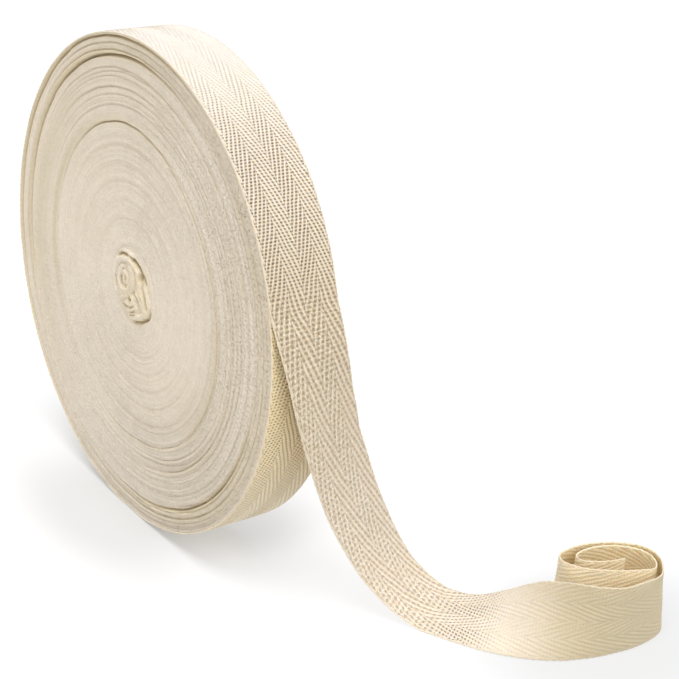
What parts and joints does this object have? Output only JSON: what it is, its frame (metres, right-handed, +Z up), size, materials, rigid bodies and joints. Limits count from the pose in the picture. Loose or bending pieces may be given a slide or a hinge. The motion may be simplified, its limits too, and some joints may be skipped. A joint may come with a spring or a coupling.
{
  "type": "roll of twill tape",
  "caption": "Coreless roll of natural cotton herringbone twill tape standing on its rim, its loose end hanging down and curled up on edge.",
  "frame": {"origin": "middle of the small flat on the rim where the roll stands", "axes": "+Z up, +X along the roll's axis away from the face shown in the picture, the loose end leaves the roll on its -Y side"},
  "size_m": [0.1173, 0.244, 0.1712],
  "materials": {
    "cotton_tape": "natural unbleached cotton, matt, herringbone twill weave with plain selvedges"
  },
  "bodies": {
    "root": {"wound_roll": "cotton_tape", "loose_end": "cotton_tape"}
  },
  "joints": []
}
